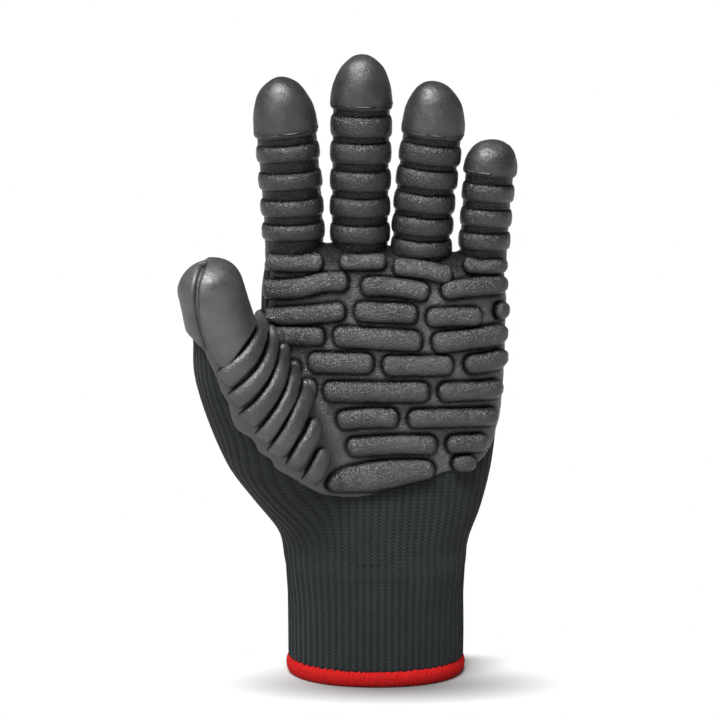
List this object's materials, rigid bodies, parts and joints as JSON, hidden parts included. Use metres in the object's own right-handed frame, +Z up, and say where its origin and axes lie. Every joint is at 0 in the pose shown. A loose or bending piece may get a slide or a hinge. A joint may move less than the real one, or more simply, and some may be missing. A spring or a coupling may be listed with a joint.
{
  "type": "anti vibration glove",
  "caption": "Left-hand knitted work glove with a ribbed cuff, a coloured hem and a moulded rubber palm of cushion ribs, pads and thick fingertip caps, in the form a hand gives it.",
  "frame": {"origin": "centre of the wrist opening, in the plane of the hem's lower edge", "axes": "+Z up the hand to the fingertips, -Y out of the palm, -X towards the thumb"},
  "size_m": [0.1288, 0.0696, 0.2539],
  "materials": {
    "rubber": "satin moulded foam rubber with a finely crinkled skin",
    "knit": "matte knitted polyester and cotton yarn",
    "hem_thread": "matte overlocked red thread"
  },
  "bodies": {
    "root": {"cuff": "knit", "hem": "hem_thread", "palm_liner": "knit", "thumb_liner": "knit", "index_liner": "knit", "index_sleeve": "rubber", "index_tip": "rubber", "middle_liner": "knit", "middle_sleeve": "rubber", "middle_tip": "rubber", "ring_liner": "knit", "ring_sleeve": "rubber", "ring_tip": "rubber", "little_liner": "knit", "little_sleeve": "rubber", "little_tip": "rubber", "palm_coating": "rubber", "thumb_tip": "rubber", "palm_pad_1a": "rubber", "palm_pad_1b": "rubber", "palm_pad_1c": "rubber", "palm_pad_2a": "rubber", "palm_pad_2b": "rubber", "palm_pad_2c": "rubber", "palm_pad_2d": "rubber", "palm_pad_3a": "rubber", "palm_pad_3b": "rubber", "palm_pad_3c": "rubber", "palm_pad_4a": "rubber", "palm_pad_4b": "rubber", "palm_pad_4c": "rubber", "palm_pad_5a": "rubber", "palm_pad_5b": "rubber", "palm_pad_6a": "rubber", "palm_pad_6b": "rubber", "palm_pad_7a": "rubber", "palm_pad_7b": "rubber", "palm_pad_8a": "rubber", "palm_pad_8b": "rubber", "index_root_pad": "rubber", "middle_root_pad": "rubber", "ring_root_pad": "rubber", "little_root_pad": "rubber", "thumb_rib_a": "rubber", "thumb_rib_b": "rubber", "thumb_rib_c": "rubber", "thumb_rib_d": "rubber", "thumb_rib_e": "rubber", "thumb_rib_f": "rubber", "thumb_rib_g": "rubber"}
  },
  "joints": []
}
